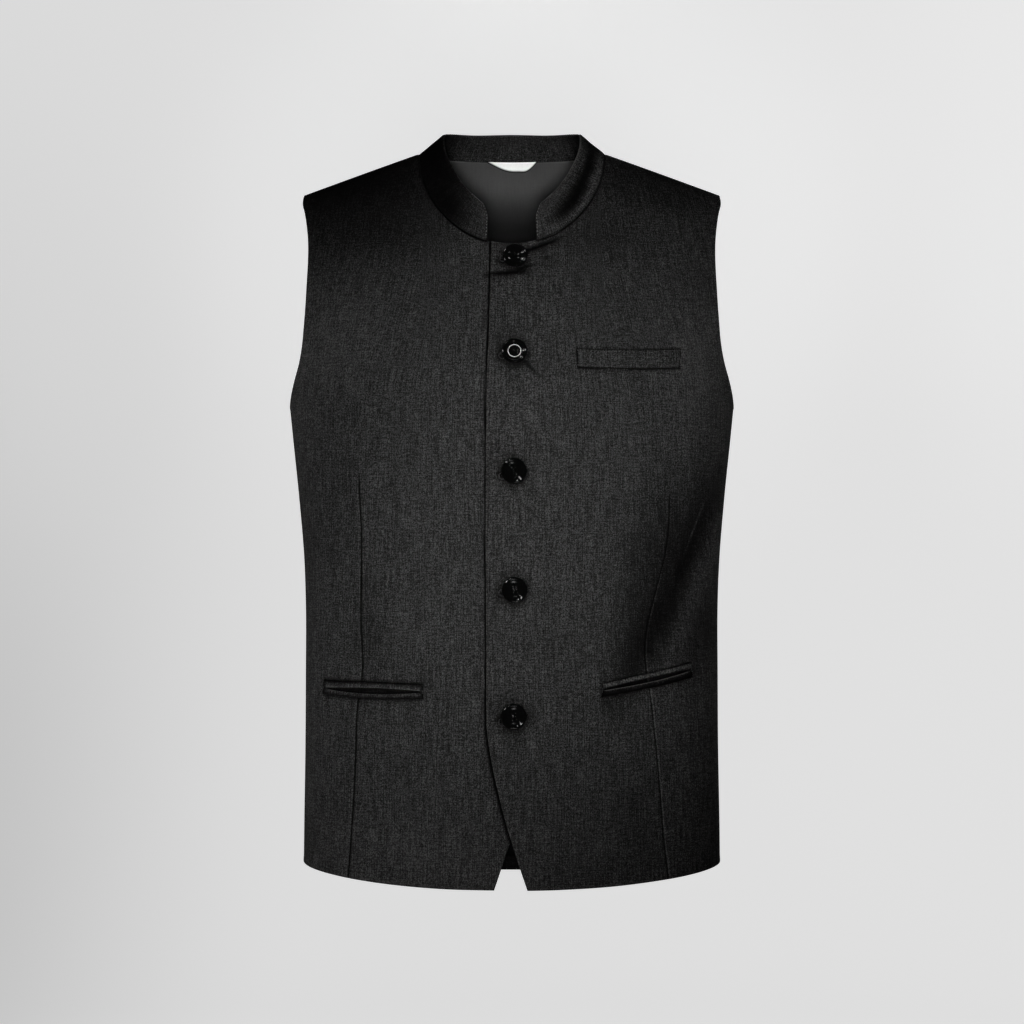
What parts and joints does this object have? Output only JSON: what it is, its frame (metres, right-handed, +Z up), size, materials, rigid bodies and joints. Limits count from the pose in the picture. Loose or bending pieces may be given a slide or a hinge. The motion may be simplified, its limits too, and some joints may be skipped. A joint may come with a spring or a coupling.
{
  "type": "nehru jacket",
  "caption": "Sleeveless band-collar jacket, buttoned up and filled out as worn, with a welt breast pocket and jetted hip pockets.",
  "frame": {"origin": "midway between the two points where the collar meets the shoulder seams, level with them, where the garment rests on its wearer", "axes": "+Z up, the buttoned fronts face -Y, +X towards the wearer's left"},
  "size_m": [0.4156, 0.2427, 0.7115],
  "materials": {
    "suiting": "black heathered plain-weave suiting, matt with a faint dry sheen",
    "lining": "plain dark grey lining, smooth with a soft sheen",
    "label": "bare white woven tape",
    "button": "polished black with a raised rim",
    "inlay": "thin polished silver ring"
  },
  "bodies": {
    "root": {"front_left": "suiting", "front_right": "suiting", "back": "suiting", "collar": "suiting", "breast_welt": "suiting", "left_pocket_upper_jet": "suiting", "left_pocket_lower_jet": "suiting", "right_pocket_upper_jet": "suiting", "right_pocket_lower_jet": "suiting", "back_lining": "lining", "neck_label": "label", "button_1": "button", "button_2": "button", "button_3": "button", "button_4": "button", "button_5": "button", "button_2_ring": "inlay"}
  },
  "joints": []
}
